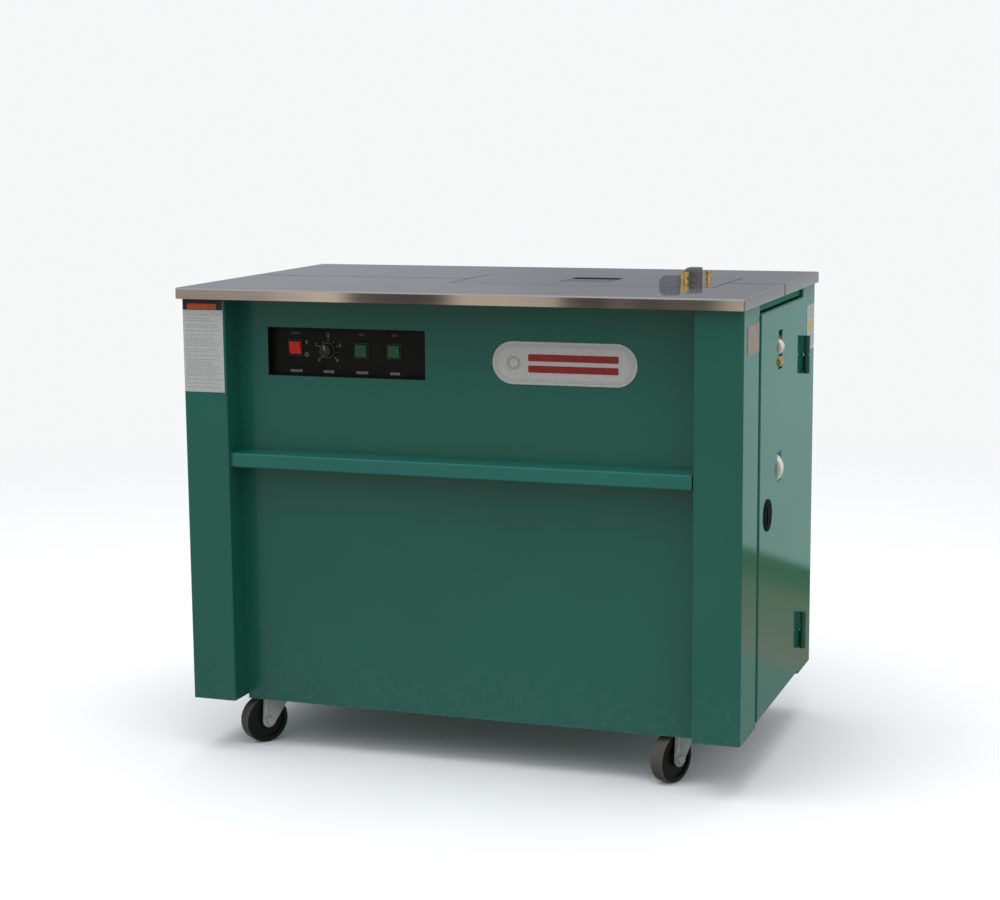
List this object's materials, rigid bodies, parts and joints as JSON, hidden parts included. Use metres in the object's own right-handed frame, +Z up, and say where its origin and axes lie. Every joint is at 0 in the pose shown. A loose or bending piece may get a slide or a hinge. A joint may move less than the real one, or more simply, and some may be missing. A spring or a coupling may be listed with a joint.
{
  "type": "semi automatic strapping machine",
  "caption": "Table-height strapping machine: steel cabinet on casters, hinged polished table halves, front controls, sealing head and a side door.",
  "frame": {"origin": "on the floor under the centre of the table top", "axes": "+X along the table to the right of the operator, +Y from the front to the back, +Z up"},
  "size_m": [0.9031, 0.556, 0.76],
  "materials": {
    "front_post_left": "gloss enamel on folded sheet steel",
    "front_post_right": "gloss enamel on folded sheet steel",
    "rear_post_left": "gloss enamel on folded sheet steel",
    "rear_post_right": "gloss enamel on folded sheet steel",
    "top_frame": "gloss enamel, inside face",
    "base_plate": "gloss enamel, inside face",
    "front_upper_panel": "gloss enamel on folded sheet steel",
    "front_lower_panel": "gloss enamel on folded sheet steel",
    "front_rail": "gloss enamel on folded sheet steel",
    "left_side_panel": "gloss enamel on folded sheet steel",
    "rear_panel": "gloss enamel on folded sheet steel",
    "cable_gland": "satin black",
    "panel_screws": "zinc plated",
    "labels": "printed label",
    "badge": "satin plate with embossed border",
    "control_box": "satin black face",
    "switch_bezels": "gloss black",
    "table_hinges": "zinc plated",
    "door_hinge_lower": "gloss enamel on folded sheet steel",
    "magnet_catch": "satin black",
    "head_cover_plate": "polished stainless sheet",
    "head_frame": "grey machine enamel",
    "head_shelf": "gloss enamel, inside face",
    "guide_blocks": "ground tool steel",
    "thumb_screws": "turned and knurled",
    "gear_reducer": "grey machine enamel",
    "motor": "blue grey motor enamel",
    "strap_pool_box": "galvanised sheet",
    "electric_box": "galvanised sheet",
    "reel_cradle": "galvanised sheet",
    "caster_plates": "zinc plated pressing",
    "front_table": "polished stainless sheet",
    "rear_table": "polished stainless sheet",
    "side_door": "gloss enamel on folded sheet steel",
    "door_hinge_upper": "gloss enamel on folded sheet steel",
    "roller_brackets": "zinc plated",
    "roller_axles": "zinc plated",
    "flush_pull": "satin black",
    "lower_strap_roller": "white nylon",
    "upper_strap_roller": "white nylon",
    "brass_strap_roller": "turned and knurled",
    "power_rocker": "red translucent rocker",
    "timer_dial": "black fluted knob with white pointer",
    "feed_button": "green square cap",
    "reset_button": "green square cap",
    "slide_plate": "ground tool steel",
    "press_block": "ground tool steel",
    "heater_arm": "turned steel",
    "cam_shaft": "turned steel",
    "drive_feed_roller": "turned steel",
    "pinch_feed_roller": "turned steel",
    "strap_reel": "black moulded reel",
    "caster_fork_front_left": "zinc plated pressing",
    "caster_wheel_front_left": "black tread and core",
    "caster_fork_front_right": "zinc plated pressing",
    "caster_wheel_front_right": "black tread and core",
    "caster_fork_rear_left": "zinc plated pressing",
    "caster_wheel_rear_left": "black tread and core",
    "caster_fork_rear_right": "zinc plated pressing",
    "caster_wheel_rear_right": "black tread and core"
  },
  "bodies": {
    "machine_frame": {"front_post_left": "front_post_left", "front_post_right": "front_post_right", "rear_post_left": "rear_post_left", "rear_post_right": "rear_post_right", "top_frame": "top_frame", "base_plate": "base_plate", "front_upper_panel": "front_upper_panel", "front_lower_panel": "front_lower_panel", "front_rail": "front_rail", "left_side_panel": "left_side_panel", "rear_panel": "rear_panel", "cable_gland": "cable_gland", "panel_screws": "panel_screws", "labels": "labels", "badge": "badge", "control_box": "control_box", "switch_bezels": "switch_bezels", "table_hinges": "table_hinges", "door_hinge_lower": "door_hinge_lower", "magnet_catch": "magnet_catch", "head_cover_plate": "head_cover_plate", "head_frame": "head_frame", "head_shelf": "head_shelf", "guide_blocks": "guide_blocks", "thumb_screws": "thumb_screws", "gear_reducer": "gear_reducer", "motor": "motor", "strap_pool_box": "strap_pool_box", "electric_box": "electric_box", "reel_cradle": "reel_cradle", "caster_plates": "caster_plates"},
    "front_table": {"front_table": "front_table"},
    "rear_table": {"rear_table": "rear_table"},
    "side_door": {"side_door": "side_door", "door_hinge_upper": "door_hinge_upper", "roller_brackets": "roller_brackets", "roller_axles": "roller_axles", "flush_pull": "flush_pull"},
    "lower_strap_roller": {"lower_strap_roller": "lower_strap_roller"},
    "upper_strap_roller": {"upper_strap_roller": "upper_strap_roller"},
    "brass_strap_roller": {"brass_strap_roller": "brass_strap_roller"},
    "power_rocker": {"power_rocker": "power_rocker"},
    "timer_dial": {"timer_dial": "timer_dial"},
    "feed_button": {"feed_button": "feed_button"},
    "reset_button": {"reset_button": "reset_button"},
    "slide_plate": {"slide_plate": "slide_plate"},
    "press_block": {"press_block": "press_block"},
    "heater_arm": {"heater_arm": "heater_arm"},
    "cam_shaft": {"cam_shaft": "cam_shaft"},
    "drive_feed_roller": {"drive_feed_roller": "drive_feed_roller"},
    "pinch_feed_roller": {"pinch_feed_roller": "pinch_feed_roller"},
    "strap_reel": {"strap_reel": "strap_reel"},
    "caster_fork_front_left": {"caster_fork_front_left": "caster_fork_front_left"},
    "caster_wheel_front_left": {"caster_wheel_front_left": "caster_wheel_front_left"},
    "caster_fork_front_right": {"caster_fork_front_right": "caster_fork_front_right"},
    "caster_wheel_front_right": {"caster_wheel_front_right": "caster_wheel_front_right"},
    "caster_fork_rear_left": {"caster_fork_rear_left": "caster_fork_rear_left"},
    "caster_wheel_rear_left": {"caster_wheel_rear_left": "caster_wheel_rear_left"},
    "caster_fork_rear_right": {"caster_fork_rear_right": "caster_fork_rear_right"},
    "caster_wheel_rear_right": {"caster_wheel_rear_right": "caster_wheel_rear_right"}
  },
  "joints": [
    {"name": "front_table_hinge", "type": "hinge", "parent": "machine_frame", "child": "front_table", "pos_m": [0, -0.27, 0.727], "axis": [1, 0, 0], "range_deg": [0, 95]},
    {"name": "rear_table_hinge", "type": "hinge", "parent": "machine_frame", "child": "rear_table", "pos_m": [0, 0.27, 0.727], "axis": [-1, 0, 0], "range_deg": [0, 95]},
    {"name": "side_door_hinge", "type": "hinge", "parent": "machine_frame", "child": "side_door", "pos_m": [0.4504, 0.166, 0.4], "axis": [0, 0, 1], "range_deg": [0, 110]},
    {"name": "lower_strap_roller_spin", "type": "hinge", "parent": "side_door", "child": "lower_strap_roller", "pos_m": [0.424, -0.0195, 0.4575], "axis": [0, 1, 0], "continuous": true},
    {"name": "upper_strap_roller_spin", "type": "hinge", "parent": "side_door", "child": "upper_strap_roller", "pos_m": [0.4373, -0.0195, 0.6455], "axis": [0, 1, 0], "continuous": true},
    {"name": "brass_strap_roller_spin", "type": "hinge", "parent": "side_door", "child": "brass_strap_roller", "pos_m": [0.4408, -0.0195, 0.6232], "axis": [0, 1, 0], "continuous": true},
    {"name": "power_rocker_tilt", "type": "hinge", "parent": "machine_frame", "child": "power_rocker", "pos_m": [-0.28, -0.201, 0.6439], "axis": [-1, 0, 0], "range_deg": [0, 12]},
    {"name": "timer_dial_turn", "type": "hinge", "parent": "machine_frame", "child": "timer_dial", "pos_m": [-0.225, -0.202, 0.641], "axis": [0, -1, 0], "range_deg": [-135, 135]},
    {"name": "feed_button_push", "type": "slide", "parent": "machine_frame", "child": "feed_button", "axis": [0, 1, 0], "range_m": [0, 0.003], "stiffness_N_per_m": 400, "springref_m": -0.001},
    {"name": "reset_button_push", "type": "slide", "parent": "machine_frame", "child": "reset_button", "axis": [0, 1, 0], "range_m": [0, 0.003], "stiffness_N_per_m": 400, "springref_m": -0.001},
    {"name": "slide_plate_slide", "type": "slide", "parent": "machine_frame", "child": "slide_plate", "axis": [0, 1, 0], "range_m": [0, 0.03]},
    {"name": "press_block_lift", "type": "slide", "parent": "machine_frame", "child": "press_block", "axis": [0, 0, 1], "range_m": [0, 0.008]},
    {"name": "heater_arm_swing", "type": "hinge", "parent": "machine_frame", "child": "heater_arm", "pos_m": [0.19, 0.032, 0.712], "axis": [0, 0, -1], "range_deg": [0, 20]},
    {"name": "cam_shaft_turn", "type": "hinge", "parent": "machine_frame", "child": "cam_shaft", "pos_m": [0.1, 0, 0.645], "axis": [1, 0, 0], "continuous": true},
    {"name": "drive_feed_roller_spin", "type": "hinge", "parent": "machine_frame", "child": "drive_feed_roller", "pos_m": [0.28, 0, 0.65], "axis": [0, 1, 0], "continuous": true},
    {"name": "pinch_feed_roller_spin", "type": "hinge", "parent": "machine_frame", "child": "pinch_feed_roller", "pos_m": [0.28, 0, 0.6876], "axis": [0, 1, 0], "continuous": true},
    {"name": "strap_reel_spin", "type": "hinge", "parent": "machine_frame", "child": "strap_reel", "pos_m": [0.215, 0, 0.318], "axis": [0, 1, 0], "continuous": true},
    {"name": "caster_swivel_front_left", "type": "hinge", "parent": "machine_frame", "child": "caster_fork_front_left", "pos_m": [-0.336, -0.157, 0.09], "axis": [0, 0, 1], "continuous": true},
    {"name": "caster_wheel_front_left_spin", "type": "hinge", "parent": "caster_fork_front_left", "child": "caster_wheel_front_left", "pos_m": [-0.3578, -0.18813, 0.0375], "axis": [0.8192, -0.5736, 0], "continuous": true},
    {"name": "caster_swivel_front_right", "type": "hinge", "parent": "machine_frame", "child": "caster_fork_front_right", "pos_m": [0.336, -0.157, 0.09], "axis": [0, 0, 1], "continuous": true},
    {"name": "caster_wheel_front_right_spin", "type": "hinge", "parent": "caster_fork_front_right", "child": "caster_wheel_front_right", "pos_m": [0.32177, -0.19223, 0.0375], "axis": [0.9272, -0.3746, 0], "continuous": true},
    {"name": "caster_swivel_rear_left", "type": "hinge", "parent": "machine_frame", "child": "caster_fork_rear_left", "pos_m": [-0.336, 0.157, 0.09], "axis": [0, 0, 1], "continuous": true},
    {"name": "caster_wheel_rear_left_spin", "type": "hinge", "parent": "caster_fork_rear_left", "child": "caster_wheel_rear_left", "pos_m": [-0.3567, 0.12513, 0.0375], "axis": [0.8387, -0.5446, 0], "continuous": true},
    {"name": "caster_swivel_rear_right", "type": "hinge", "parent": "machine_frame", "child": "caster_fork_rear_right", "pos_m": [0.336, 0.157, 0.09], "axis": [0, 0, 1], "continuous": true},
    {"name": "caster_wheel_rear_right_spin", "type": "hinge", "parent": "caster_fork_rear_right", "child": "caster_wheel_rear_right", "pos_m": [0.31816, 0.12345, 0.0375], "axis": [0.8829, -0.4695, 0], "continuous": true}
  ],
  "couplings": [
    {"joint": "pinch_feed_roller_spin", "follows": "drive_feed_roller_spin", "ratio": -2.0833}
  ]
}
